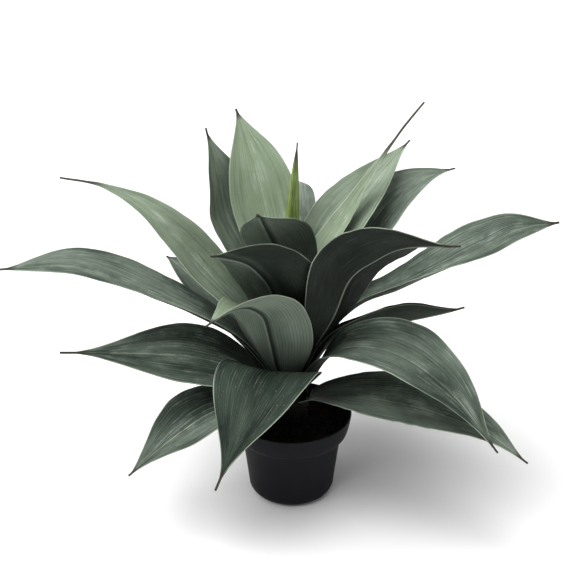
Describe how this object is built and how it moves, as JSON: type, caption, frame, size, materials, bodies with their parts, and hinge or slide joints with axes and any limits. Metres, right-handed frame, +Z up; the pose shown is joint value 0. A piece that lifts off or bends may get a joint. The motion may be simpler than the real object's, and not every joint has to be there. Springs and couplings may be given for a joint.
{
  "type": "potted foxtail agave",
  "caption": "Foxtail agave: a rosette of broad, arching, spine-tipped leaves on a short stem in a round tapered nursery pot filled with soil.",
  "frame": {"origin": "middle of the pot's foot, on the surface that it stands on", "axes": "+Z up along the pot's axis; -Y is the side where a low leaf hangs over the rim, as seen in the picture"},
  "size_m": [0.5805, 0.3878, 0.4068],
  "materials": {
    "leaf_low": "satin dark grey-green, dull and slightly waxy",
    "leaf_high": "satin pale grey-green with a whitish bloom",
    "spear": "satin yellow-green with a dark purple tip",
    "stem": "rough, dark green-brown",
    "soil": "rough, crumbly, near black",
    "pot": "matte charcoal with a faint grain"
  },
  "bodies": {
    "root": {"pot": "pot", "soil": "soil", "stem": "stem", "leaf_01": "leaf_low", "leaf_02": "leaf_low", "leaf_03": "leaf_low", "leaf_04": "leaf_low", "leaf_05": "leaf_low", "leaf_06": "leaf_low", "leaf_07": "leaf_low", "leaf_08": "leaf_low", "leaf_09": "leaf_low", "leaf_10": "leaf_low", "leaf_11": "leaf_low", "leaf_12": "leaf_low", "leaf_13": "leaf_low", "leaf_14": "leaf_high", "leaf_15": "leaf_high", "leaf_16": "leaf_high", "leaf_17": "leaf_high", "leaf_18": "leaf_high", "leaf_19": "leaf_high", "leaf_20": "leaf_high", "leaf_21": "leaf_high", "leaf_22": "leaf_high", "leaf_23": "leaf_high", "leaf_24": "leaf_high", "leaf_25": "leaf_high", "leaf_26": "leaf_high", "spear_leaf": "spear"}
  },
  "joints": []
}
